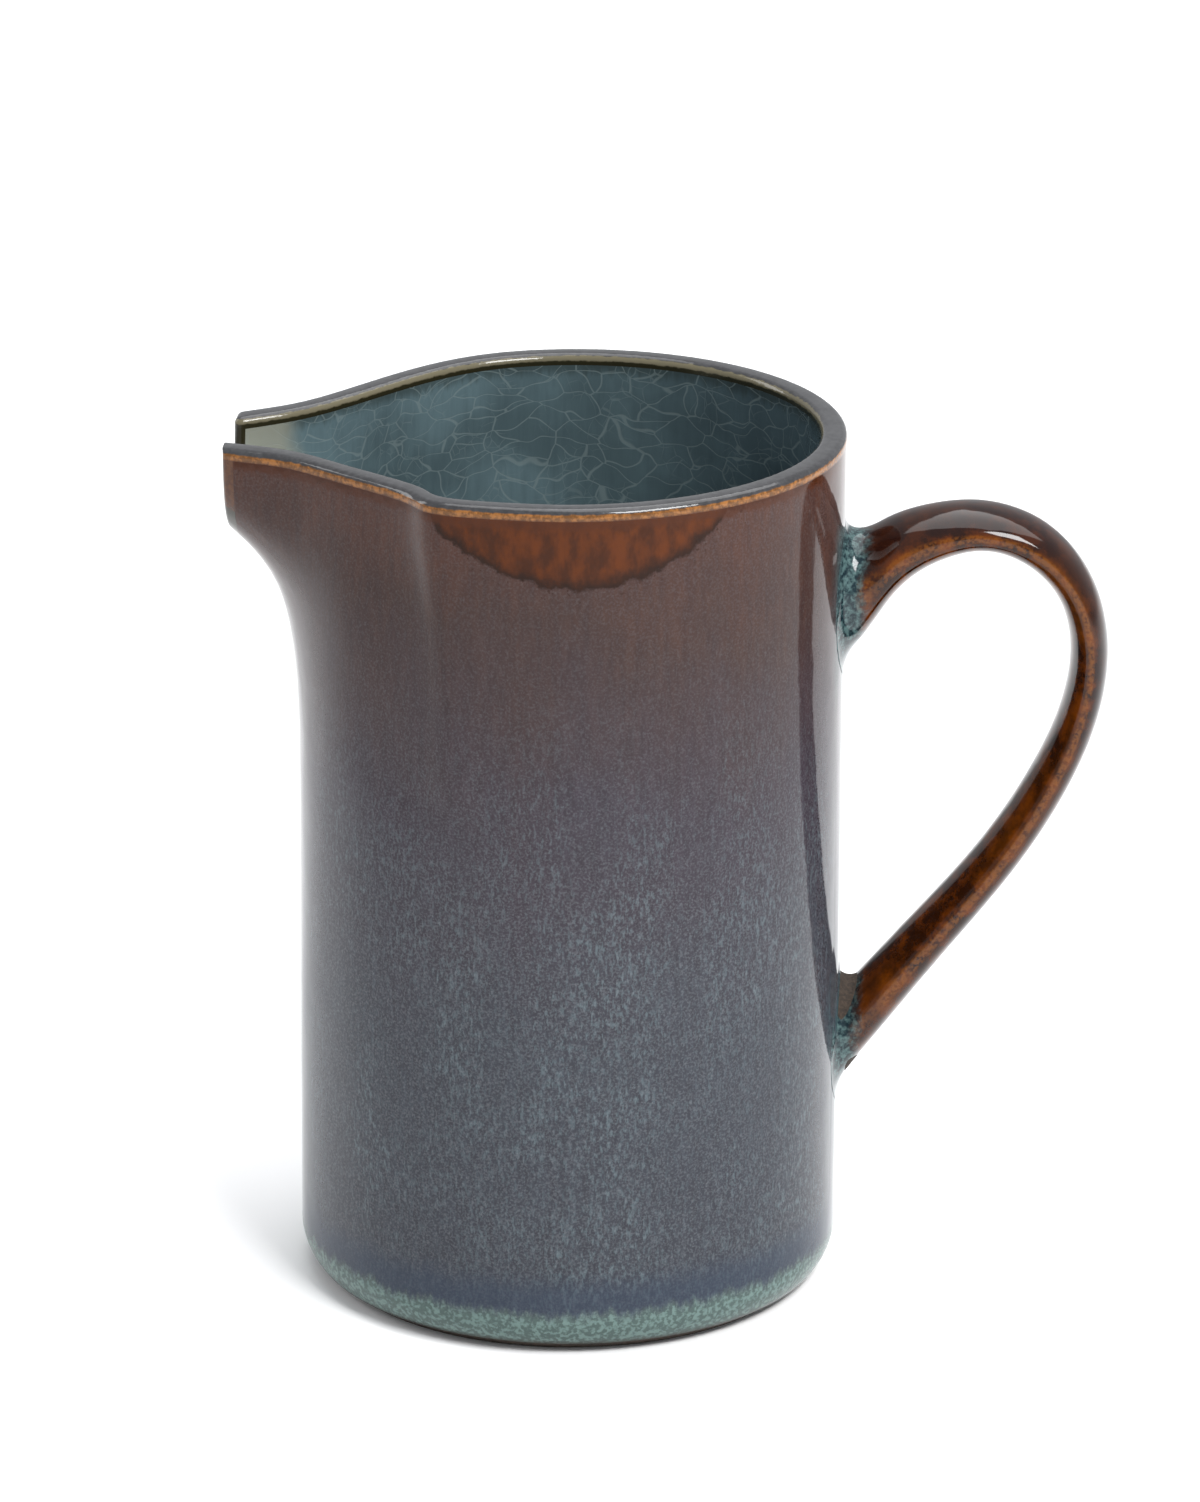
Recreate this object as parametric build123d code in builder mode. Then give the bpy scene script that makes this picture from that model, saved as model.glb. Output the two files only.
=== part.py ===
"""A glazed stoneware pitcher: a cast clay body with a drawn spout, a luted handle and its glaze coats.

The pitcher stands on its foot ring, with its axis on Z.  The handle points along +X and the spout
along -X, so the XZ plane is its plane of symmetry, apart from the spout's slightly skewed end.
All sizes are in millimetres.
"""

import os
from math import cos, radians, sin

from build123d import *

# ---- driving sizes ------------------------------------------------------------------------------
body_height = 171.0
body_radius = 52.5
wall = 5.0  # finished wall, with both glaze coats
floor = 6.5  # from the table up to the glazed inside floor
glaze = 0.5  # thickness of every glaze coat

foot_inset = 5.2  # the foot stands this far in from the wall
foot_width = 6.0  # radial width of the unglazed foot ring
foot_recess = 1.6  # the underside stands this far above the table
foot_round = 0.6  # rounding of the foot ring's edges
glaze_line = 2.2  # the outer glaze stops this far above the table
base_corner = 9.0  # height of the rounded corner between foot and wall
inner_corner = 9.0  # radius between the inside floor and the inside wall

rim_band = 2.2  # depth of the dark rim glaze
rim_round = 1.4  # rounding of the rim's edges
clay_chamfer = 0.6  # flat on the same edges of the clay, under the glaze
rim_dip = 1.9  # fall of the rim's line, from the handle side to the lip's nose

spout_overhang = 12.8  # from the round wall to the cut end of the spout
spout_drop = 63.0  # the spout leaves the round wall this far below the rim
keel_rise = 6.5  # the channel's bed stands this far above the underside
lip_skew = -4.0  # degrees by which the spout's end is out of square

handle_width = 18.0  # across the handle, at the top of its arch
handle_depth = 8.8  # through the handle there, in the plane of symmetry
slip_radius = 3.0  # fillet of slip round each end of the handle
slip_depth = 3.2  # from the wall to where the handle's own clay begins
pool_depth = 0.4  # the wall's glaze climbs this far up the fillets

# ---- lines of the spout and the handle ----------------------------------------------------------
# The fully drawn lip, before its end is cut: half its outline, in shares of the body's radius.
# Level sections of the spout are set out at these azimuths, and the lip puts them at these points.
leave_angle = 100.0
section_angles = (120.0, 140.0, 155.0, 168.0)
lip_points = ((-0.571, 0.785), (-0.857, 0.491), (-1.038, 0.331), (-1.267, 0.229))
lip_nose = 1.52 * body_radius
# Distance below the rim, and the share of the lip that is drawn out there.
draw_profile = (
    (56.0, 0.004),
    (49.0, 0.017),
    (42.0, 0.046),
    (35.0, 0.10),
    (28.0, 0.215),
    (21.0, 0.44),
    (14.0, 0.73),
    (7.0, 0.92),
    (0.0, 1.0),
)

# The handle's sections: distance out from the wall, height below the rim, heading of the centreline
# in degrees above level, and shares of handle_depth and handle_width.  Both ends are in the wall.
handle_sections = (
    (-6.0, 35.0, 0, 2.90, 1.20),
    (0.0, 33.3, 0, 2.72, 1.16),
    (5.5, 29.2, 0, 2.12, 1.09),
    (8.5, 26.0, 3, 1.70, 1.06),
    (12.0, 23.3, 6, 1.40, 1.03),
    (18.5, 20.6, 7, 1.14, 1.01),
    (26.0, 19.6, -3, 0.99, 1.00),
    (36.0, 22.8, -32, 0.94, 0.98),
    (44.2, 31.8, -63, 0.86, 0.95),
    (47.2, 43.5, -87, 0.84, 0.93),
    (45.4, 57.5, -106, 0.86, 0.91),
    (39.7, 71.5, -117, 0.90, 0.89),
    (29.5, 88.0, -126, 0.94, 0.88),
    (17.5, 103.0, -129, 1.03, 0.89),
    (5.0, 118.4, -129, 1.17, 0.93),
    (-6.0, 131.8, -129, 1.28, 1.00),
)


def stepped_in(points, inset):
    """The lip's outline moved inwards, each point square to the line through its neighbours."""
    leave = radians(leave_angle)
    start = (body_radius * cos(leave), body_radius * sin(leave))
    run = [start, *points, (-lip_nose, points[-1][1])]
    moved = []
    for before, here, after in zip(run, run[1:], run[2:]):
        along = Vector(after[0] - before[0], after[1] - before[1]).normalized()
        moved.append((here[0] - along.Y * inset, here[1] + along.X * inset))
    return moved


def level_section(inset, share):
    """Draws one level outline: a round wall whose spout side is drawn out by a share of the lip."""
    radius = body_radius - inset
    leave = radians(leave_angle)
    side = (radius * cos(leave), radius * sin(leave))
    other_side = (side[0], -side[1])
    back = ThreePointArc(other_side, (radius, 0), side)
    if share == 0:
        ThreePointArc(side, (-radius, 0), other_side)
        return
    drawn = [(x * body_radius, y * body_radius) for x, y in lip_points]
    half = []
    for angle, lip in zip(section_angles, stepped_in(drawn, inset)):
        on_wall = (radius * cos(radians(angle)), radius * sin(radians(angle)))
        half.append(tuple(w + share * (t - w) for w, t in zip(on_wall, lip)))
    tip = (-radius - share * (lip_nose - radius), 0)
    other_half = [(x, -y) for x, y in reversed(half)]
    Spline(side, *half, tip, *other_half, other_side, tangents=[back % 1, back % 0])


def skin_solid(inset, rise, foot, corner_height, bottom):
    """The solid inside one skin of the pitcher, inset from the outside, its spout raised by rise.

    foot is the radius where the skin meets its flat bottom, and corner_height the rounding there.
    """
    radius = body_radius - inset
    spout_start = body_height - spout_drop + rise
    with BuildPart() as skin:
        with BuildSketch(Plane.XZ):
            with BuildLine():
                axis_line = Line((0, spout_start), (0, bottom))
                base_line = Line(axis_line @ 1, (foot, bottom))
                wall_line = Line((radius, bottom + corner_height), (radius, spout_start))
                TangentArc(wall_line @ 0, base_line @ 1, tangent=(0, -1))
                Line(wall_line @ 1, axis_line @ 0)
            make_face()
        revolve(axis=Axis.Z)
        with BuildSketch(Plane.XY.offset(spout_start)):
            with BuildLine():
                level_section(inset, 0)
            make_face()
        for below, share in draw_profile:
            with BuildSketch(Plane.XY.offset(body_height - below + rise)):
                with BuildLine():
                    level_section(inset, share)
                make_face()
        loft()
    return skin.part


def above_rim(depth):
    """Everything above the rim's dipping line, or above the same line lowered by depth."""
    level = body_height - depth
    with BuildPart() as block:
        with BuildSketch(Plane.XZ):
            with BuildLine():
                rim_line = Bezier(
                    (lip_nose, level),
                    (lip_nose / 3, level),
                    (-lip_nose / 3, level),
                    (-lip_nose, level - rim_dip),
                )
                Polyline(rim_line @ 1, (-lip_nose, 2 * level), (lip_nose, 2 * level), rim_line @ 0)
            make_face()
        extrude(amount=2 * body_radius, both=True)
    return block.part


def spout_end(inset):
    """The block that cuts the spout's end off, inset from the finished end."""
    end = body_radius + spout_overhang - inset
    with BuildPart() as block:
        with Locations(Location((-end, 0, body_height), (0, 0, lip_skew))):
            Box(lip_nose, 2 * body_radius, body_height, align=(Align.MAX, Align.CENTER, Align.CENTER))
    return block.part


def rim_edges(vessel):
    """The edges of the rim's top and of the spout's cut end."""
    top = vessel.faces().sort_by(Axis.Z)[-1]
    end = vessel.faces().filter_by(GeomType.PLANE).sort_by(Axis.X)[0]
    end_edges = end.edges().filter_by(lambda edge: edge.center().Z < body_height - rim_dip - rim_round)
    return top.edges() + end_edges


def handle_solid(inset):
    """The handle as a loft of ellipses along its centreline, thinner by inset all round."""
    with BuildPart() as grip:
        for out, down, heading, depth_share, width_share in handle_sections:
            along = (cos(radians(heading)), 0, sin(radians(heading)))
            centre = (body_radius + out, 0, body_height - down)
            with BuildSketch(Plane(centre, x_dir=(0, 1, 0), z_dir=along)):
                Ellipse(handle_width * width_share / 2 - inset, handle_depth * depth_share / 2 - inset)
        loft()
    return grip.part


def cylinder_to(radius):
    """A solid cylinder on the pitcher's axis, higher than the rim."""
    with BuildPart() as core:
        Cylinder(radius, 2 * body_height)
    return core.part


def with_handle(vessel, inset):
    """The vessel with the handle joined to its wall, and a fillet of slip round each end."""
    with BuildPart() as joined:
        add(vessel)
        vessel_edges = joined.edges()
        add(handle_solid(inset))
        new_edges = joined.edges() - vessel_edges
        fillet(new_edges.filter_by(lambda edge: edge.distance_to(vessel) < 1e-3), slip_radius)
    return joined.part


def opened(vessel, bowl, inset):
    """The solid vessel hollowed by its bowl, with its rim and the spout's end cut."""
    return vessel - bowl - above_rim(inset) - spout_end(inset)


# ---- the skins of the finished pitcher, and of the clay inside its glaze -------------------------
foot_radius = body_radius - foot_inset
inner_foot = body_radius - wall - inner_corner
keel_glaze = 1.3 * glaze  # the sloping keel is coated square to its surface

outer_skin = skin_solid(0, 0, foot_radius, base_corner, 0)
bowl_skin = skin_solid(wall, keel_rise, inner_foot, inner_corner, floor)
clay_skin = skin_solid(glaze, keel_glaze, foot_radius - glaze, base_corner, 0)
clay_bowl = skin_solid(wall - glaze, keel_rise - keel_glaze, inner_foot, inner_corner + glaze, floor - glaze)


finished = opened(with_handle(outer_skin, 0), bowl_skin, 0)
finished = finished.fillet(rim_round, rim_edges(finished))
bare_clay = opened(with_handle(clay_skin, glaze), clay_bowl, glaze)
bare_clay = bare_clay.chamfer(clay_chamfer, None, rim_edges(bare_clay))

# ---- the clay: cast body, handle, and the slip between them -------------------------------------
with BuildPart() as clay_body:
    add(opened(clay_skin, clay_bowl, glaze))
    chamfer(rim_edges(clay_body), clay_chamfer)
    with BuildSketch():
        Circle(foot_radius - glaze - foot_width)
    extrude(amount=foot_recess, mode=Mode.SUBTRACT)
    fillet(clay_body.edges().group_by(Axis.Z)[0], foot_round)

wall_stub = cylinder_to(body_radius - glaze)
slip_reach = cylinder_to(body_radius - glaze + slip_depth)
luted_handle = with_handle(wall_stub, glaze) - wall_stub

with BuildPart() as clay_handle:
    add(luted_handle)
    add(slip_reach, mode=Mode.SUBTRACT)

lower_slip, upper_slip = (luted_handle & slip_reach).solids().sort_by(Axis.Z)
with BuildPart() as upper_joint_slip:
    add(upper_slip)
with BuildPart() as lower_joint_slip:
    add(lower_slip)

# ---- the glaze coats ----------------------------------------------------------------------------
with BuildPart() as coat:
    add(finished)
    add(bare_clay, mode=Mode.SUBTRACT)
    with BuildSketch():
        Circle(body_radius)
    extrude(amount=glaze_line, mode=Mode.SUBTRACT)

with BuildPart() as handle_side:
    Box(2 * body_radius, 2 * body_radius, 2 * body_height, align=(Align.MIN, Align.CENTER, Align.CENTER))
    Cylinder(body_radius + pool_depth, 2 * body_height, mode=Mode.SUBTRACT)

with BuildPart() as handle_glaze:
    add(coat.part)
    add(cylinder_to(body_radius + pool_depth), mode=Mode.SUBTRACT)
    Box(2 * lip_nose, 4 * body_radius, 2 * body_height, align=(Align.MAX, Align.CENTER, Align.CENTER),
        mode=Mode.SUBTRACT)

with BuildPart() as below_rim:
    Box(3 * lip_nose, 3 * lip_nose, 3 * body_height)
    add(above_rim(rim_band), mode=Mode.SUBTRACT)
    add(spout_end(rim_band), mode=Mode.SUBTRACT)

vessel_coat = coat.part - handle_side.part
with BuildPart() as rim_glaze:
    add(vessel_coat)
    add(below_rim.part, mode=Mode.SUBTRACT)

side_coats = (vessel_coat - above_rim(rim_band) - spout_end(rim_band)).solids()
inner_coat, outer_coat = sorted(side_coats, key=lambda side: side.bounding_box().size.Y)
with BuildPart() as inner_glaze:
    add(inner_coat)
with BuildPart() as outer_glaze:
    add(outer_coat)

# ---- write every piece --------------------------------------------------------------------------
pieces = {
    "clay_body": clay_body,
    "clay_handle": clay_handle,
    "upper_joint_slip": upper_joint_slip,
    "lower_joint_slip": lower_joint_slip,
    "outer_glaze": outer_glaze,
    "inner_glaze": inner_glaze,
    "rim_glaze": rim_glaze,
    "handle_glaze": handle_glaze,
}
os.makedirs("parts", exist_ok=True)
for name, piece in pieces.items():
    piece.part.label = name
    export_step(piece.part, f"parts/{name}.step")
    print(name, len(piece.solids()), "solid,", round(piece.part.volume), "mm3")
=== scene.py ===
"""Builds a glazed stoneware pitcher's finished pieces, materials, studio and camera in Blender."""

import math

import bmesh
import bpy
import numpy as np
from mathutils import Matrix, Vector


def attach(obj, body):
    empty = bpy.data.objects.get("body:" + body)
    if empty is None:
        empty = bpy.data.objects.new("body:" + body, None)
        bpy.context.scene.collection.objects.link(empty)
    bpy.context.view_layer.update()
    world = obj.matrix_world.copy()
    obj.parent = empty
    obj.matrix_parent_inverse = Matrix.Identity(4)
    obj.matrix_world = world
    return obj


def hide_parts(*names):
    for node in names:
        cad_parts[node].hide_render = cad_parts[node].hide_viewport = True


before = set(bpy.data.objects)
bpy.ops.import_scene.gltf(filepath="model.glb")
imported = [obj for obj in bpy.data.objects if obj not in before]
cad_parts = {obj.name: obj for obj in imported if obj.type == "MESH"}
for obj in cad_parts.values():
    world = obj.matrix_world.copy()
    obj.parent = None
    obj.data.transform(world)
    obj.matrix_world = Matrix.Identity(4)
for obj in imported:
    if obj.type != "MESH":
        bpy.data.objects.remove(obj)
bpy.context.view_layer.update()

bl_info = {
    "name": "Stoneware Pitcher",
    "version": (1, 0, 0),
    "blender": (4, 5, 0),
    "location": "View3D > Sidebar > Pitcher",
    "description": "Makes a glazed stoneware pitcher, its glazes and a small studio",
    "category": "Object",
}

MM = 0.001
BODY_RADIUS = 52.5
BODY_HEIGHT = 171.0
RIM_DIP = 1.9
LIP_NOSE = 1.52 * BODY_RADIUS
SHARP_ANGLE = math.radians(32)
LIT_SHARE = 0.56  # the lights and the gloss lift a finish, so its own colour is this share of its look

# The handle's sections, in mm and degrees: out from the wall, down from the rim, heading of the
# centreline above level, and shares of the handle's depth and width.
HANDLE_SECTIONS = (
    (-6.0, 35.0, 0, 2.90, 1.20),
    (0.0, 33.3, 0, 2.72, 1.16),
    (5.5, 29.2, 0, 2.12, 1.09),
    (8.5, 26.0, 3, 1.70, 1.06),
    (12.0, 23.3, 6, 1.40, 1.03),
    (18.5, 20.6, 7, 1.14, 1.01),
    (26.0, 19.6, -3, 0.99, 1.00),
    (36.0, 22.8, -32, 0.94, 0.98),
    (44.2, 31.8, -63, 0.86, 0.95),
    (47.2, 43.5, -87, 0.84, 0.93),
    (45.4, 57.5, -106, 0.86, 0.91),
    (39.7, 71.5, -117, 0.90, 0.89),
    (29.5, 88.0, -126, 0.94, 0.88),
    (17.5, 103.0, -129, 1.03, 0.89),
    (5.0, 118.4, -129, 1.17, 0.93),
    (-6.0, 131.8, -129, 1.28, 1.00),
)
LOOP_MIDDLE = (75, 112)  # x and z of the middle of the handle's loop, in mm
# Half of the lip's outline midway through the wall, from the round wall to the nose, in mm.
LIP_MIDDLE = ((-80.0, 9.5), (-66.0, 9.5), (-53.3, 15.2), (-43.3, 24.0), (-28.6, 39.0), (-8.7, 49.2))


def shade(red, green, blue):
    """A colour of 0 to 255, as a finish looks in the studio, as the linear colour under its gloss."""
    steps = [value / 255 for value in (red, green, blue)]
    return tuple(LIT_SHARE * (s / 12.92 if s <= 0.04045 else ((s + 0.055) / 1.055) ** 2.4) for s in steps)


class PitcherSettings(bpy.types.PropertyGroup):
    """The sizes and colours of the pitcher that a user may change."""

    handle_width: bpy.props.FloatProperty(
        name="Handle width", description="Across the handle, at the top of its arch",
        default=18.0 * MM, min=0.01, max=0.03, unit="LENGTH", subtype="DISTANCE")
    handle_depth: bpy.props.FloatProperty(
        name="Handle depth", description="Through the handle, at the top of its arch",
        default=8.8 * MM, min=0.005, max=0.015, unit="LENGTH", subtype="DISTANCE")
    joint_reach: bpy.props.FloatProperty(
        name="Joint reach", description="How far the handle's joints spread over the wall",
        default=4.0 * MM, min=0.002, max=0.006, unit="LENGTH", subtype="DISTANCE")
    crackle: bpy.props.FloatProperty(
        name="Crackle", description="Size of the cells between the liner's crackle lines",
        default=6.0 * MM, min=0.002, max=0.02, unit="LENGTH", subtype="DISTANCE")
    # How far the painted reflection, the amber patch under the front of the rim, runs down.
    reflection_patch_depth: bpy.props.FloatProperty(
        name="Amber depth", description="How far the amber patch runs down from the front of the rim",
        default=12.5 * MM, min=0.0, max=0.04, unit="LENGTH", subtype="DISTANCE")
    glaze_high: bpy.props.FloatVectorProperty(
        name="High glaze", description="Outer glaze under the rim",
        default=shade(86, 62, 54), size=3, min=0, max=1, subtype="COLOR")
    glaze_middle: bpy.props.FloatVectorProperty(
        name="Middle glaze", description="Outer glaze half way down",
        default=shade(78, 70, 80), size=3, min=0, max=1, subtype="COLOR")
    glaze_low: bpy.props.FloatVectorProperty(
        name="Low glaze", description="Outer glaze above the foot",
        default=shade(76, 82, 92), size=3, min=0, max=1, subtype="COLOR")
    glaze_foot: bpy.props.FloatVectorProperty(
        name="Foot glaze", description="Speckled band at the foot",
        default=shade(122, 148, 142), size=3, min=0, max=1, subtype="COLOR")
    # Amber of the handle's glaze, and of the painted reflection patch under the front of the rim.
    amber: bpy.props.FloatVectorProperty(
        name="Amber", description="Amber glaze of the patch and the handle",
        default=shade(116, 54, 0), size=3, min=0, max=1, subtype="COLOR")
    liner: bpy.props.FloatVectorProperty(
        name="Liner", description="Crackled glaze inside",
        default=shade(100, 122, 128), size=3, min=0, max=1, subtype="COLOR")
    rim_grey: bpy.props.FloatVectorProperty(
        name="Rim", description="Dark glaze on top of the rim",
        default=shade(62, 62, 64), size=3, min=0, max=1, subtype="COLOR")
    # Gold of the painted highlight along the rim's outer edge, where the glaze also breaks over the edge.
    gold: bpy.props.FloatVectorProperty(
        name="Gold", description="Line where the glaze breaks over an edge",
        default=shade(176, 116, 58), size=3, min=0, max=1, subtype="COLOR")


# ---- shaders ------------------------------------------------------------------------------------
class Signal:
    """A number that a shader node gives out, with Python's arithmetic."""

    def __init__(self, glaze, socket):
        self.glaze = glaze
        self.socket = socket

    def math(self, operation, first, second=0.0):
        node = self.glaze.node("ShaderNodeMath", {"operation": operation}, {0: first, 1: second})
        return Signal(self.glaze, node.outputs[0])

    def __add__(self, other):
        return self.math("ADD", self, other)

    def __radd__(self, other):
        return self.math("ADD", other, self)

    def __sub__(self, other):
        return self.math("SUBTRACT", self, other)

    def __rsub__(self, other):
        return self.math("SUBTRACT", other, self)

    def __mul__(self, other):
        return self.math("MULTIPLY", self, other)

    def __rmul__(self, other):
        return self.math("MULTIPLY", other, self)

    def __truediv__(self, other):
        return self.math("DIVIDE", self, other)

    def __rtruediv__(self, other):
        return self.math("DIVIDE", other, self)

    def __pow__(self, other):
        return self.math("POWER", self, other)

    def at_least(self, other):
        return self.math("MAXIMUM", self, other)

    def at_most(self, other):
        return self.math("MINIMUM", self, other)

    def step(self, low, high):
        """0 below low and 1 above high, with a soft step between; high may be the smaller one."""
        settings = {"interpolation_type": "SMOOTHSTEP", "clamp": True}
        if high < low:
            return 1 - self.step(high, low)
        node = self.glaze.node("ShaderNodeMapRange", settings, {0: self, 1: low, 2: high, 3: 0.0, 4: 1.0})
        return Signal(self.glaze, node.outputs[0])


class Glaze:
    """A material on a Principled shader, with a few makers' tools for its nodes."""

    def __init__(self, name, roughness, specular=0.5):
        self.material = bpy.data.materials.new(name)
        self.material.use_nodes = True
        self.tree = self.material.node_tree
        self.tree.nodes.clear()
        self.shader = self.tree.nodes.new("ShaderNodeBsdfPrincipled")
        output = self.tree.nodes.new("ShaderNodeOutputMaterial")
        self.tree.links.new(self.shader.outputs[0], output.inputs[0])
        self.shader.inputs["Roughness"].default_value = roughness
        self.shader.inputs["Specular IOR Level"].default_value = specular
        self.shader.inputs["IOR"].default_value = 1.52

    def node(self, kind, settings=None, inputs=None):
        """A node with its settings made first, and then its sockets set or linked."""
        made = self.tree.nodes.new(kind)
        for key, value in (settings or {}).items():
            if key == "stops":
                self.set_stops(made.color_ramp, value)
            else:
                setattr(made, key, value)
        for key, value in (inputs or {}).items():
            self.feed(made.inputs[key], value)
        return made

    def feed(self, socket, value):
        """Links a signal or a socket, or sets a plain value."""
        if isinstance(value, Signal):
            value = value.socket
        if isinstance(value, bpy.types.NodeSocket):
            self.tree.links.new(value, socket)
        elif isinstance(value, tuple) and socket.type == "RGBA":
            socket.default_value = (*value[:3], 1.0)
        else:
            socket.default_value = value

    def set_stops(self, ramp, stops):
        while len(ramp.elements) > 1:
            ramp.elements.remove(ramp.elements[-1])
        ramp.elements[0].position = stops[0][0]
        ramp.elements[0].color = (*stops[0][1], 1.0)
        for position, colour in stops[1:]:
            ramp.elements.new(position).color = (*colour, 1.0)

    def place(self):
        """The point on the piece in mm, as a vector socket and as three signals."""
        where = self.node("ShaderNodeTexCoord").outputs["Object"]
        scaled = self.scaled(where, (1000, 1000, 1000))
        parts = self.node("ShaderNodeSeparateXYZ", None, {0: scaled})
        return scaled, *(Signal(self, output) for output in parts.outputs)

    def facing(self):
        """The way the skin faces, as three signals."""
        normal = self.node("ShaderNodeNewGeometry").outputs["Normal"]
        parts = self.node("ShaderNodeSeparateXYZ", None, {0: normal})
        return [Signal(self, output) for output in parts.outputs]

    def scaled(self, vector, factors):
        inputs = {0: vector, 1: factors}
        return self.node("ShaderNodeVectorMath", {"operation": "MULTIPLY"}, inputs).outputs[0]

    def noise(self, vector, scale, detail=3.0, roughness=0.5, distortion=0.0):
        inputs = {"Vector": vector, "Scale": scale, "Detail": detail, "Roughness": roughness,
                  "Distortion": distortion}
        return Signal(self, self.node("ShaderNodeTexNoise", None, inputs).outputs[0])

    def cracks(self, vector, scale, randomness=1.0):
        """How far each point is from the nearest crack, in cells."""
        settings = {"feature": "DISTANCE_TO_EDGE"}
        inputs = {"Vector": vector, "Scale": scale, "Randomness": randomness}
        return Signal(self, self.node("ShaderNodeTexVoronoi", settings, inputs).outputs["Distance"])

    def mix(self, factor, first, second, blend="MIX"):
        settings = {"data_type": "RGBA", "blend_type": blend, "clamp_factor": True}
        return self.node("ShaderNodeMix", settings, {0: factor, 6: first, 7: second}).outputs[2]

    def ramp(self, factor, stops):
        return self.node("ShaderNodeValToRGB", {"stops": stops}, {0: factor}).outputs[0]

    def below_rim(self, x, z):
        """How far a point is below the dipping line of the rim, in mm."""
        along = (LIP_NOSE - x) / (2 * LIP_NOSE)
        return (BODY_HEIGHT - z) - RIM_DIP * (along * along * along)

    def finish(self, colour, height, distance, roughness=None):
        """Sets the colour, the relief (a height signal and its depth in metres) and any roughness."""
        self.feed(self.shader.inputs["Base Color"], colour)
        bump = self.node("ShaderNodeBump", None, {"Strength": 1.0, "Distance": distance, "Height": height})
        self.feed(self.shader.inputs["Normal"], bump.outputs[0])
        if roughness is not None:
            self.feed(self.shader.inputs["Roughness"], roughness)
        return self.material


def outer_material(look):
    """Reactive glaze: rust under the rim, mauve, slate and a speckled teal foot, with a painted reflection
    as an amber patch under the front of the rim.
    """
    glaze = Glaze("outer_glaze_reactive", 0.06, 0.16)
    point, x, y, z = glaze.place()
    streaks = glaze.noise(glaze.scaled(point, (1, 1, 0.16)), 0.85, 4.0, 0.6)
    runs = glaze.noise(glaze.scaled(point, (1, 1, 0.05)), 0.16, 3.0, 0.55)
    clouds = glaze.noise(point, 0.045, 3.0, 0.5)
    grain = glaze.noise(point, 2.2, 2.0, 0.6)

    level = (z + (clouds - 0.5) * 34 + (runs - 0.5) * 22) / BODY_HEIGHT
    high, middle = tuple(look.glaze_high), tuple(look.glaze_middle)
    low, foot = tuple(look.glaze_low), tuple(look.glaze_foot)
    rust = shade(104, 66, 50)
    base = glaze.ramp(level, ((0.05, low), (0.36, low), (0.62, middle), (0.86, high), (0.98, rust)))
    base = glaze.mix((streaks - 0.35) * 1.6, glaze.mix(0.5, base, shade(44, 36, 42)), base)
    lower_half = z.step(150, 70)
    frost = glaze.noise(glaze.scaled(point, (1, 1, 0.4)), 1.5, 3.0, 0.7).step(0.46, 0.70)
    patches = glaze.noise(glaze.scaled(point, (1, 1, 0.6)), 0.06, 3.0, 0.55).step(0.34, 0.62)
    base = glaze.mix(frost * (0.25 + patches * 0.75) * lower_half * 0.52, base, shade(128, 148, 154))
    base = glaze.mix((grain - 0.45) * (0.5 + lower_half), base, shade(138, 142, 148))

    edge = z + (streaks - 0.5) * 5 + (runs - 0.5) * 3
    line = edge.step(19, 12.5) * edge.step(8.5, 10.5)
    base = glaze.mix(line * 0.6, base, shade(58, 72, 92))
    band = edge.step(10.5, 7.5)
    spots = glaze.noise(point, 1.1, 2.0, 0.5).step(0.42, 0.62)
    speckled = glaze.mix(spots, tuple(0.62 * part for part in foot), tuple(1.25 * part for part in foot))
    base = glaze.mix(band * 0.85, base, speckled)
    base = glaze.mix(z.step(3.4, 2.3) * 0.7, base, shade(60, 56, 50))

    # Painted reflection: the amber patch under the front of the rim, on the front only, painted in as a
    # glaze pool with a darker lower edge.
    down = glaze.below_rim(x, z)
    ragged = glaze.noise(point, 0.33, 4.0, 0.65)
    wide = 1 - ((x - 1.5) / 27.5) * ((x - 1.5) / 27.5)
    depth = wide.at_least(0.0) ** 0.75 * (look.reflection_patch_depth / MM) * y.step(0, -12)
    reach = down - depth - (ragged - 0.5) * 4.5
    patch = reach.step(3.3, 2.3)
    tone = glaze.noise(glaze.scaled(point, (1, 1, 0.5)), 0.38, 3.0, 0.6).step(0.35, 0.68)
    amber = tuple(look.amber)
    dark_amber, light_amber = (tuple(share * part for part in amber) for share in (0.3, 0.85))
    deep = glaze.mix(tone * 0.8 + 0.1, dark_amber, light_amber)
    deep = glaze.mix(reach.step(-0.5, 2.6) * 0.85, deep, shade(30, 10, 0))
    flecks = glaze.noise(point, 1.5, 1.0, 0.5).step(0.66, 0.71) * reach.step(7.5, 3.0) * y.step(0, -12)
    base = glaze.mix(flecks * 0.75, base, shade(52, 24, 10))
    base = glaze.mix(patch, base, deep)
    under_rim = (down + (ragged - 0.5) * 3).step(4.6, 3.2)
    base = glaze.mix(under_rim * 0.7, base, shade(84, 40, 12))

    span = (x * x + y * y) ** 0.5
    joint = span.step(BODY_RADIUS + 0.1, BODY_RADIUS + 0.35) * x.step(40, 46)
    near = ((x - 50) * (x - 50) + y * y) ** 0.5
    drips = glaze.noise(glaze.scaled(point, (1, 1, 0.12)), 0.5, 3.0, 0.6).step(0.46, 0.66)
    lower = z.step(20, 36) * z.step(64, 56) * near.step(15.5, 12.5)
    upper = z.step(118, 126) * z.step(158, 152) * near.step(16, 13)
    wet = (lower * drips + upper * 0.6 + joint).at_most(1.0)
    base = glaze.mix(wet * 0.75, base, shade(66, 92, 96))

    relief = glaze.noise(point, 0.09, 2.0, 0.4) + streaks * 0.04
    return glaze.finish(base, relief, 0.00012, 0.05 + band * 0.16 + grain * 0.03)


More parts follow.
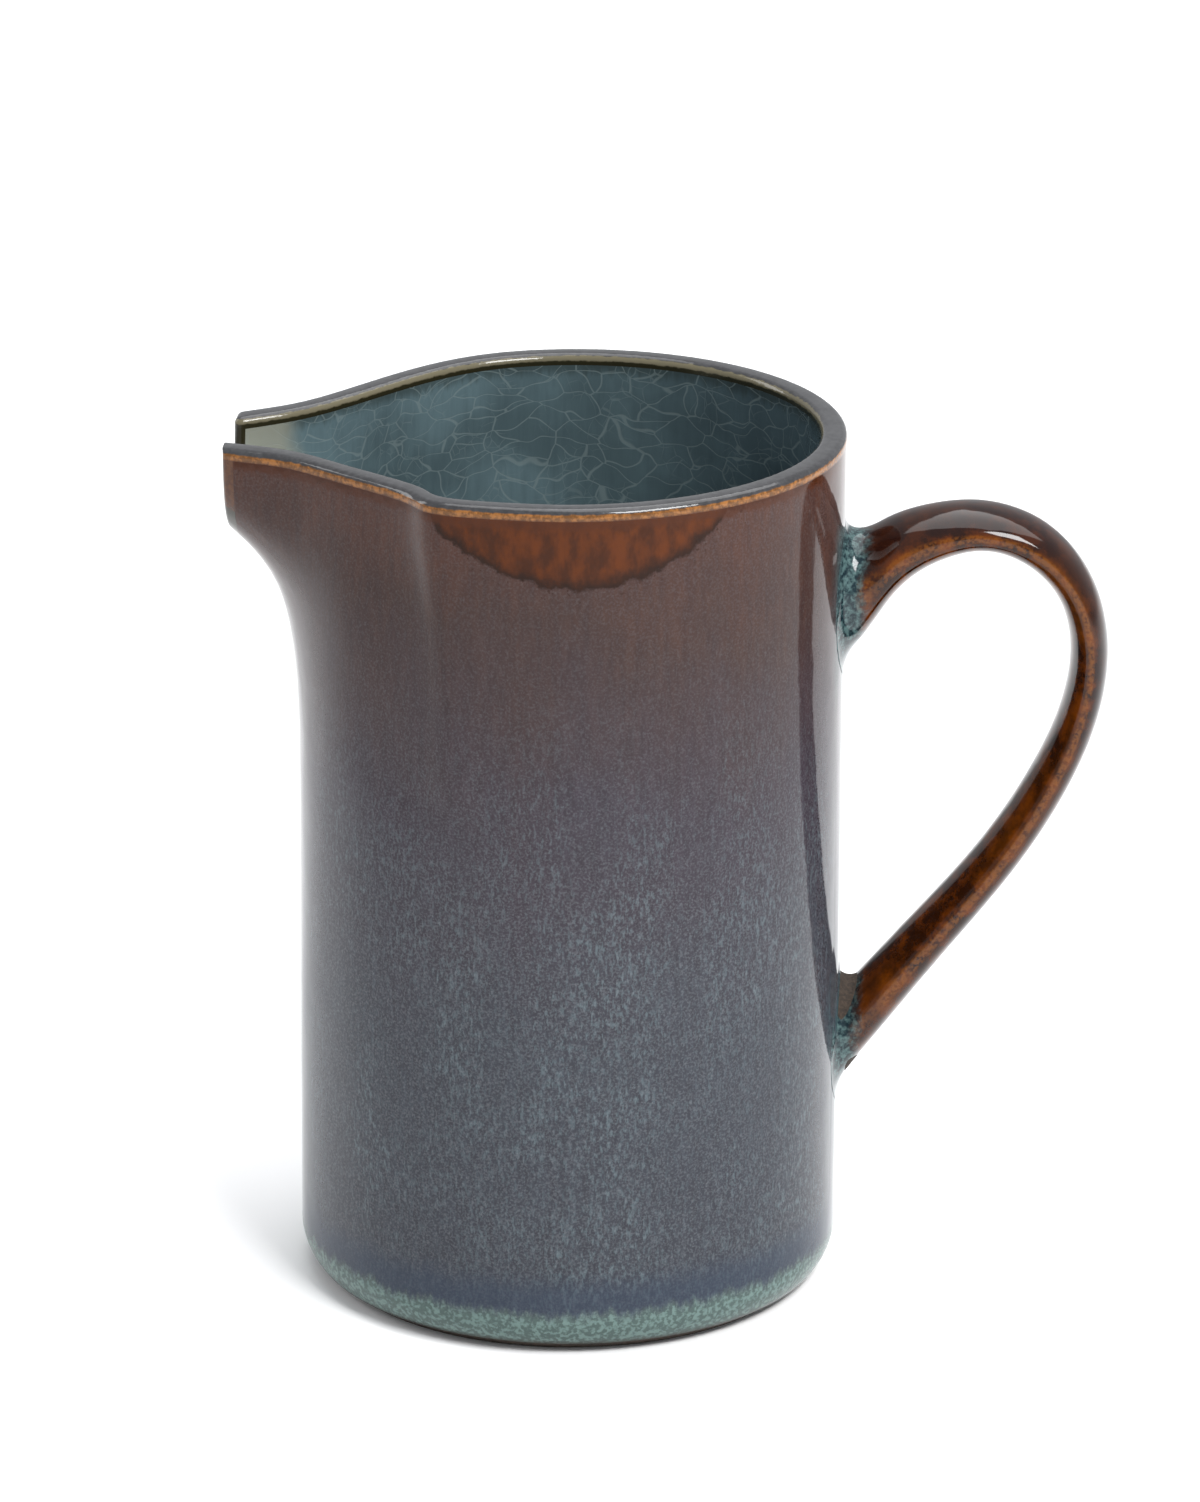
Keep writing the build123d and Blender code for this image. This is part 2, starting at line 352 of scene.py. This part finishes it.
def liner_material(look):
    """Blue-grey crackled liner, with a creamy pool at the spout and painted shade deeper inside and on its
    right.
    """
    glaze = Glaze("inner_glaze_crackle", 0.07, 0.25)
    point, x, y, z = glaze.place()
    bend = glaze.node("ShaderNodeTexNoise", None, {"Vector": point, "Scale": 0.06, "Detail": 2.0}).outputs[1]
    swing = {0: bend, 1: (14, 14, 14), 2: point}
    swung = glaze.node("ShaderNodeVectorMath", {"operation": "MULTIPLY_ADD"}, swing)
    cells = 1 / (look.crackle / MM)
    tilted = glaze.node("ShaderNodeMapping", None, {"Vector": swung.outputs[0], "Rotation": (0.5, 0.35, 0.2),
                                                    "Scale": (0.75, 0.75, 1.7)}).outputs[0]
    wide_lines = glaze.cracks(tilted, cells).step(0.034, 0.010)
    fine_lines = glaze.cracks(swung.outputs[0], cells * 1.9, 0.9).step(0.034, 0.010)
    broken = glaze.noise(point, 0.12, 2.0, 0.5).step(0.45, 0.6)
    lines = wide_lines.at_least(fine_lines * broken * 0.6)

    streaks = glaze.noise(glaze.scaled(point, (1, 1, 0.1)), 0.7, 3.0, 0.6)
    clouds = glaze.noise(point, 0.05, 3.0, 0.5)
    liner = tuple(look.liner)
    dark_liner, light_liner = (tuple(share * part for part in liner) for share in (0.72, 1.15))
    base = glaze.mix(clouds.step(0.35, 0.65), dark_liner, light_liner)
    # Painted shade: the liner darker towards the right and further down inside.
    base = glaze.mix((x.step(5, 50) * 0.55 + z.step(150, 60) * 0.35).at_most(0.8), base, shade(44, 56, 68))
    base = glaze.mix((streaks - 0.4) * 0.6, base, shade(52, 66, 76))
    down = glaze.below_rim(x, z)
    base = glaze.mix((down + (streaks - 0.5) * 5).step(5.0, 2.4) * 0.55, base, shade(46, 50, 42))
    cream = (x + (clouds - 0.5) * 12).step(-49, -55)
    base = glaze.mix(cream * 0.85, base, shade(158, 160, 146))
    base = glaze.mix(lines * (1 - cream * 0.7) * 0.36, base, shade(150, 166, 166))
    relief = glaze.noise(point, 0.08, 2.0, 0.4) - lines * 0.12
    return glaze.finish(base, relief, 0.0001, 0.06 + lines * 0.12)


def rim_material(look):
    """Dark rim glaze with a painted gold highlight along its outer edge, where the glaze also breaks to
    gold, and a painted pale highlight on its inner edge, where it also breaks to olive.
    """
    glaze = Glaze("rim_glaze_dark", 0.09, 0.35)
    point, x, y, z = glaze.place()
    outside = Signal(glaze, glaze.node("ShaderNodeAttribute", {"attribute_name": "outside"}).outputs["Fac"])
    outside = outside.step(0.45, 0.55)
    down = glaze.below_rim(x, z)
    ragged = glaze.noise(point, 0.6, 3.0, 0.6)
    mottle = glaze.noise(point, 0.9, 3.0, 0.6)
    grey = tuple(look.rim_grey)
    base = glaze.mix(mottle.step(0.35, 0.7), grey, tuple(1.5 * part for part in grey))
    edge = down + (ragged - 0.5) * 0.7
    # Painted highlight: a gold line along the rim's outer rounding, where the glaze also breaks to gold.
    gold = glaze.mix(mottle.step(0.4, 0.62), tuple(0.45 * part for part in look.gold), tuple(look.gold))
    front = glaze.mix(edge.step(1.7, 2.3) * 0.8, gold, shade(70, 28, 6))
    outer = glaze.mix(edge.step(0.75, 1.05), base, front)
    # Painted highlight, partly the glaze's olive break: a pale line on the rim's inner rounding, with darker
    # olive further in.
    pale = glaze.mix(edge.step(1.15, 1.5), shade(122, 115, 92), shade(46, 43, 27))
    inner = glaze.mix(edge.step(0.3, 0.5), base, pale)
    colour = glaze.mix(outside, inner, outer)
    relief = glaze.noise(point, 0.15, 2.0, 0.4)
    return glaze.finish(colour, relief, 0.00015, 0.08 + ragged * 0.06)


def handle_material(look):
    """Amber handle glaze with dark mottling, teal pools at the joints and a painted gold highlight along its
    ridge, where the glaze also breaks to gold.
    """
    glaze = Glaze("handle_glaze_amber", 0.06, 0.28)
    point, x, y, z = glaze.place()
    mottle = glaze.noise(point, 0.24, 5.0, 0.65)
    freckle = glaze.noise(point, 1.1, 3.0, 0.6)
    clouds = glaze.noise(point, 0.06, 2.0, 0.5)
    amber = tuple(look.amber)
    bright = (1.3 * amber[0], 1.6 * amber[1], 1.5 * amber[2])
    base = glaze.mix(mottle.step(0.40, 0.68), tuple(0.16 * part for part in amber), amber)
    base = glaze.mix(clouds.step(0.5, 0.75) * 0.45, base, bright)
    base = glaze.mix(freckle.step(0.58, 0.72) * 0.45, base, shade(30, 12, 6))
    face_x, face_y, face_z = glaze.facing()
    away_x, away_z = x - LOOP_MIDDLE[0], z - LOOP_MIDDLE[1]
    away = (away_x * away_x + away_z * away_z + 1) ** 0.5
    outward = (face_x * away_x + face_z * away_z) / away
    base = glaze.mix(outward.step(0.15, 0.75) * 0.75, base, shade(34, 18, 18))
    # Painted highlight along the handle's ridges, where the glaze also breaks to gold.
    ridge = (face_y * face_y).step(0.80, 0.97) * freckle.step(0.38, 0.58)
    base = glaze.mix(ridge * 0.5, base, shade(150, 88, 24))

    span = (x * x + y * y) ** 0.5 - BODY_RADIUS
    drip = glaze.noise(glaze.scaled(point, (1, 1, 0.35)), 0.45, 4.0, 0.65)
    pool = (span + (drip - 0.5) * 5.0).step(5.6, 2.6)
    veins = glaze.noise(point, 0.9, 4.0, 0.7).step(0.4, 0.65)
    teal = glaze.mix(veins, shade(26, 46, 54), shade(96, 124, 124))
    base = glaze.mix(pool, base, teal)
    rings = (span + (drip - 0.5) * 4.0).step(4.5, 6.5) * (span + (drip - 0.5) * 4.0).step(10.0, 7.0)
    base = glaze.mix(rings * 0.5, base, shade(44, 18, 8))
    relief = glaze.noise(point, 0.11, 2.0, 0.45) + mottle * 0.08
    return glaze.finish(base, relief, 0.00018, 0.05 + freckle * 0.04)


def clay_material():
    """Bare fired clay of the foot ring and underside."""
    clay = Glaze("fired_clay_bare", 0.8, 0.3)
    point, x, y, z = clay.place()
    grain = clay.noise(point, 1.6, 4.0, 0.65)
    clouds = clay.noise(point, 0.08, 3.0, 0.5)
    base = clay.mix(grain.step(0.35, 0.7), shade(58, 48, 41), shade(88, 74, 62))
    base = clay.mix(clouds.step(0.4, 0.65) * 0.4, base, shade(44, 38, 34))
    return clay.finish(base, grain, 0.0003, 0.7 + grain * 0.2)


def stage_material():
    """Plain pale floor."""
    floor = Glaze("stage_pale", 0.55, 0.2)
    point, x, y, z = floor.place()
    cloud = floor.noise(point, 0.004, 2.0, 0.5)
    base = floor.mix(cloud, (0.90, 0.90, 0.902), (0.92, 0.92, 0.922))
    return floor.finish(base, cloud, 0.0001)


# ---- pieces -------------------------------------------------------------------------------------
def add_piece(name, mesh, material):
    """Puts a mesh into the scene as a named piece of the pitcher."""
    mesh.materials.clear()
    mesh.materials.append(material)
    piece = bpy.data.objects.new(name, mesh)
    bpy.context.scene.collection.objects.link(piece)
    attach(piece, "root")
    return piece


def merged_copy(node, name):
    """A copy of a node's mesh with its triangles joined, smooth except over real edges."""
    source = bpy.data.objects[node]
    mesh = source.data.copy()
    mesh.name = name
    shape = bmesh.new()
    shape.from_mesh(mesh)
    shape.transform(source.matrix_world)
    bmesh.ops.remove_doubles(shape, verts=shape.verts, dist=2e-6)
    bmesh.ops.dissolve_degenerate(shape, edges=shape.edges, dist=1e-6)
    for face in shape.faces:
        face.smooth = True
    for edge in shape.edges:
        edge.smooth = edge.is_manifold and edge.calc_face_angle(0) < SHARP_ANGLE
    shape.to_mesh(mesh)
    shape.free()
    return mesh


def mark_outside(mesh):
    """Writes how far each point is on the outer side of the wall's middle, from 0 to 1."""
    lip_x, lip_y = zip(*LIP_MIDDLE)
    marks = mesh.attributes.new("outside", "FLOAT", "POINT")
    for vertex, mark in zip(mesh.vertices, marks.data):
        x, y = vertex.co.x / MM, abs(vertex.co.y) / MM
        gap = y - np.interp(x, lip_x, lip_y) if x < lip_x[-1] else math.hypot(x, y) - (BODY_RADIUS - 2.5)
        mark.value = min(max(0.5 + gap, 0.0), 1.0)


def smooth_rows(stations, steps):
    """Rows on a natural cubic spline that passes through every station."""
    rows = np.array(stations, dtype=float)
    knots = np.concatenate(([0], np.cumsum(np.linalg.norm(np.diff(rows[:, :2], axis=0), axis=1))))
    gaps = np.diff(knots)
    slopes = np.diff(rows, axis=0) / gaps[:, None]
    system = np.eye(len(rows))
    turns = np.zeros_like(rows)
    for i in range(1, len(rows) - 1):
        system[i, i - 1:i + 2] = gaps[i - 1], 2 * (gaps[i - 1] + gaps[i]), gaps[i]
        turns[i] = 6 * (slopes[i] - slopes[i - 1])
    bends = np.linalg.solve(system, turns)
    at = np.linspace(0, knots[-1], steps)
    i = np.clip(np.searchsorted(knots, at, side="right") - 1, 0, len(rows) - 2)
    run = (at - knots[i])[:, None]
    gap = gaps[i][:, None]
    lean = slopes[i] - gap * (2 * bends[i] + bends[i + 1]) / 6
    return rows[i] + run * (lean + run * (bends[i] / 2 + run * (bends[i + 1] - bends[i]) / (6 * gap)))


def handle_lines(look, columns, steps):
    """Lines along the handle's skin, in mm: an array of columns by steps by 3."""
    rows = smooth_rows(HANDLE_SECTIONS, steps)
    heading = np.radians(rows[:, 2])
    centre = np.stack([BODY_RADIUS + rows[:, 0], 0 * heading, BODY_HEIGHT - rows[:, 1]], axis=1)
    across = np.stack([-np.sin(heading), 0 * heading, np.cos(heading)], axis=1)
    deep = across * (rows[:, 3:4] * look.handle_depth / MM / 2)
    wide = np.array([[0, 1, 0]]) * (rows[:, 4:5] * look.handle_width / MM / 2)
    turn = np.linspace(0, 2 * math.pi, columns, endpoint=False)[:, None, None]
    return centre[None] + deep[None] * np.sin(turn) + wide[None] * np.cos(turn)


def joint_line(line, foot_way, reach, start):
    """One line of a joint's hollow curve: from the wall, past the corner, onto the handle's line.

    Returns the curve's points and the place on the line where it ends.
    """
    crossing = start
    lengths = np.cumsum(np.linalg.norm(np.diff(line[crossing:], axis=0), axis=1))
    ahead = crossing + 1 + int(np.searchsorted(lengths, reach))
    corner, onto = line[crossing], line[ahead]
    foot = corner + foot_way * reach
    foot[:2] *= BODY_RADIUS / np.hypot(*foot[:2])
    share = np.linspace(0, 1, 13)[:, None]
    curve = (1 - share) ** 2 * foot + 2 * share * (1 - share) * corner + share ** 2 * onto
    return curve, ahead


def joined_ends(lines, reach):
    """Adds a hollow joint at the start of every line, with a buried end inside the wall."""
    span = np.hypot(lines[:, :, 0], lines[:, :, 1])
    starts = [int(np.argmax(row > BODY_RADIUS)) for row in span]
    corners = np.array([line[start] for line, start in zip(lines, starts)])
    along = np.roll(corners, -1, axis=0) - np.roll(corners, 1, axis=0)
    outward = corners * (1, 1, 0)
    outward /= np.linalg.norm(outward, axis=1)[:, None]
    ways = np.cross(outward, along)
    ways /= np.linalg.norm(ways, axis=1)[:, None]
    if np.sum(ways * (corners - corners.mean(axis=0))) < 0:
        ways = -ways
    result = []
    for line, start, way, out in zip(lines, starts, ways, outward):
        curve, ahead = joint_line(line, way, reach, start)
        buried = curve[0] - out * 1.2 - way * 0.6
        result.append((np.vstack([buried[None], curve]), ahead))
    return result


def handle_mesh(look, columns=72, steps=900, rows=210):
    """The glazed handle as one closed skin, its joints flowing into the wall."""
    lines = handle_lines(look, columns, steps)
    reach = look.joint_reach / MM
    upper = joined_ends(lines, reach)
    lower = joined_ends(lines[:, ::-1], reach)
    shape = bmesh.new()
    loops = []
    for line, (top, top_end), (base, base_end) in zip(lines, upper, lower):
        last = steps - 1 - base_end
        picks = np.linspace(top_end, last, rows)[1:-1]
        middle = np.stack([np.interp(picks, np.arange(steps), line[:, axis]) for axis in range(3)], axis=1)
        points = np.vstack([top, middle, base[::-1]])
        loops.append([shape.verts.new(Vector(point) * MM) for point in points])
    for first, second in zip(loops, loops[1:] + loops[:1]):
        for a, b, c, d in zip(first, second, second[1:], first[1:]):
            shape.faces.new((a, b, c, d))
    for end in (0, -1):
        ring = [loop[end] for loop in loops]
        middle = sum((vertex.co for vertex in ring), Vector()) / len(ring)
        hub = shape.verts.new(middle)
        for a, b in zip(ring, ring[1:] + ring[:1]):
            shape.faces.new((a, b, hub))
    bmesh.ops.recalc_face_normals(shape, faces=shape.faces)
    for face in shape.faces:
        face.smooth = True
    mesh = bpy.data.meshes.new("handle_coat")
    shape.to_mesh(mesh)
    shape.free()
    return mesh


# ---- operators ----------------------------------------------------------------------------------
class PITCHER_OT_clay(bpy.types.Operator):
    """Give the cast body, the handle's clay and the slip their fired clay"""

    bl_idname = "pitcher.clay"
    bl_label = "Fired clay"

    def execute(self, context):
        material = clay_material()
        for node in ("clay_body", "clay_handle", "upper_joint_slip", "lower_joint_slip"):
            slots = bpy.data.objects[node].data.materials
            slots.clear()
            slots.append(material)
        return {"FINISHED"}


class PITCHER_OT_outer_glaze(bpy.types.Operator):
    """Make the reactive glaze outside"""

    bl_idname = "pitcher.outer_glaze"
    bl_label = "Outer glaze"

    def execute(self, context):
        mesh = merged_copy("outer_glaze", "outer_coat")
        piece = add_piece("outer_coat", mesh, outer_material(context.scene.pitcher))
        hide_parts("outer_glaze")
        return {"FINISHED"}


class PITCHER_OT_inner_glaze(bpy.types.Operator):
    """Make the crackled liner"""

    bl_idname = "pitcher.inner_glaze"
    bl_label = "Inner glaze"

    def execute(self, context):
        mesh = merged_copy("inner_glaze", "crackled_liner")
        piece = add_piece("crackled_liner", mesh, liner_material(context.scene.pitcher))
        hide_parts("inner_glaze")
        return {"FINISHED"}


class PITCHER_OT_rim_glaze(bpy.types.Operator):
    """Make the dark rim with its gold edge"""

    bl_idname = "pitcher.rim_glaze"
    bl_label = "Rim glaze"

    def execute(self, context):
        mesh = merged_copy("rim_glaze", "rim_coat")
        mark_outside(mesh)
        piece = add_piece("rim_coat", mesh, rim_material(context.scene.pitcher))
        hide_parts("rim_glaze")
        return {"FINISHED"}


class PITCHER_OT_handle_glaze(bpy.types.Operator):
    """Make the glazed handle and its two joints"""

    bl_idname = "pitcher.handle_glaze"
    bl_label = "Handle glaze"

    def execute(self, context):
        look = context.scene.pitcher
        piece = add_piece("handle_coat", handle_mesh(look), handle_material(look))
        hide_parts("handle_glaze")
        return {"FINISHED"}


class PITCHER_OT_stage(bpy.types.Operator):
    """Set up the floor, the soft lights and the camera"""

    bl_idname = "pitcher.stage"
    bl_label = "Stage"

    def execute(self, context):
        self.lay_floor(context)
        self.hang_lights(context)
        self.set_camera(context)
        return {"FINISHED"}

    def lay_floor(self, context):
        shape = bmesh.new()
        bmesh.ops.create_grid(shape, x_segments=2, y_segments=2, size=6.0)
        mesh = bpy.data.meshes.new("floor")
        shape.to_mesh(mesh)
        shape.free()
        mesh.materials.append(stage_material())
        floor = bpy.data.objects.new("floor", mesh)
        context.scene.collection.objects.link(floor)

    def hang_lights(self, context):
        world = bpy.data.worlds.new("studio_air")
        world.use_nodes = True
        background = world.node_tree.nodes["Background"]
        background.inputs["Color"].default_value = (0.95, 0.97, 1.0, 1.0)
        background.inputs["Strength"].default_value = 0.62
        context.scene.world = world
        context.scene.view_settings.view_transform = "Standard"
        lights = (
            ("key_softbox", (0.66, -0.79, 1.23), (0.75, 0.5), 29.0),
            ("top_softbox", (0.25, 0.35, 1.5), (1.5, 1.5), 22.0),
            ("side_softbox", (-1.5, 0.5, 0.8), (0.5, 1.0), 7.0),
        )
        for name, spot, size, power in lights:
            lamp = bpy.data.lights.new(name, "AREA")
            lamp.shape = "RECTANGLE"
            lamp.size, lamp.size_y = size
            lamp.energy = power
            light = bpy.data.objects.new(name, lamp)
            light.location = spot
            light.rotation_euler = (Vector((0, 0, 0.09)) - Vector(spot)).to_track_quat("-Z", "Y").to_euler()
            context.scene.collection.objects.link(light)

    def set_camera(self, context):
        tilt, roll = math.radians(19.675), math.radians(0.345)
        back = Vector((0, -math.cos(tilt), math.sin(tilt)))
        right = Vector((1, 0, 0))
        up = back.cross(right)
        across = math.cos(roll) * right + math.sin(roll) * up
        rise = math.cos(roll) * up - math.sin(roll) * right
        target = Vector((5.731, 0, 105.093)) * MM
        lens = bpy.data.cameras.new("camera")
        lens.sensor_width = 36
        lens.lens = 184.79
        lens.clip_end = 50
        camera = bpy.data.objects.new("camera", lens)
        turn = Matrix((across, rise, back)).transposed().to_4x4()
        camera.matrix_world = Matrix.Translation(target + back * 1490.87 * MM) @ turn
        context.scene.collection.objects.link(camera)
        context.scene.camera = camera


class PITCHER_PT_panel(bpy.types.Panel):
    """The pitcher's settings, and a button for each piece"""

    bl_idname = "PITCHER_PT_panel"
    bl_label = "Stoneware Pitcher"
    bl_space_type = "VIEW_3D"
    bl_region_type = "UI"
    bl_category = "Pitcher"

    def draw(self, context):
        column = self.layout.column()
        for setting in PitcherSettings.__annotations__:
            column.prop(context.scene.pitcher, setting)
        for operator in OPERATORS:
            column.operator(operator.bl_idname)


OPERATORS = (
    PITCHER_OT_clay,
    PITCHER_OT_outer_glaze,
    PITCHER_OT_inner_glaze,
    PITCHER_OT_rim_glaze,
    PITCHER_OT_handle_glaze,
    PITCHER_OT_stage,
)
CLASSES = (PitcherSettings, *OPERATORS, PITCHER_PT_panel)


def register():
    for entry in CLASSES:
        bpy.utils.register_class(entry)
    bpy.types.Scene.pitcher = bpy.props.PointerProperty(type=PitcherSettings)


def unregister():
    del bpy.types.Scene.pitcher
    for entry in reversed(CLASSES):
        bpy.utils.unregister_class(entry)


def main():
    register()
    bpy.ops.pitcher.clay()
    bpy.ops.pitcher.outer_glaze()
    bpy.ops.pitcher.inner_glaze()
    bpy.ops.pitcher.rim_glaze()
    bpy.ops.pitcher.handle_glaze()
    bpy.ops.pitcher.stage()


if __name__ == "__main__":
    main()
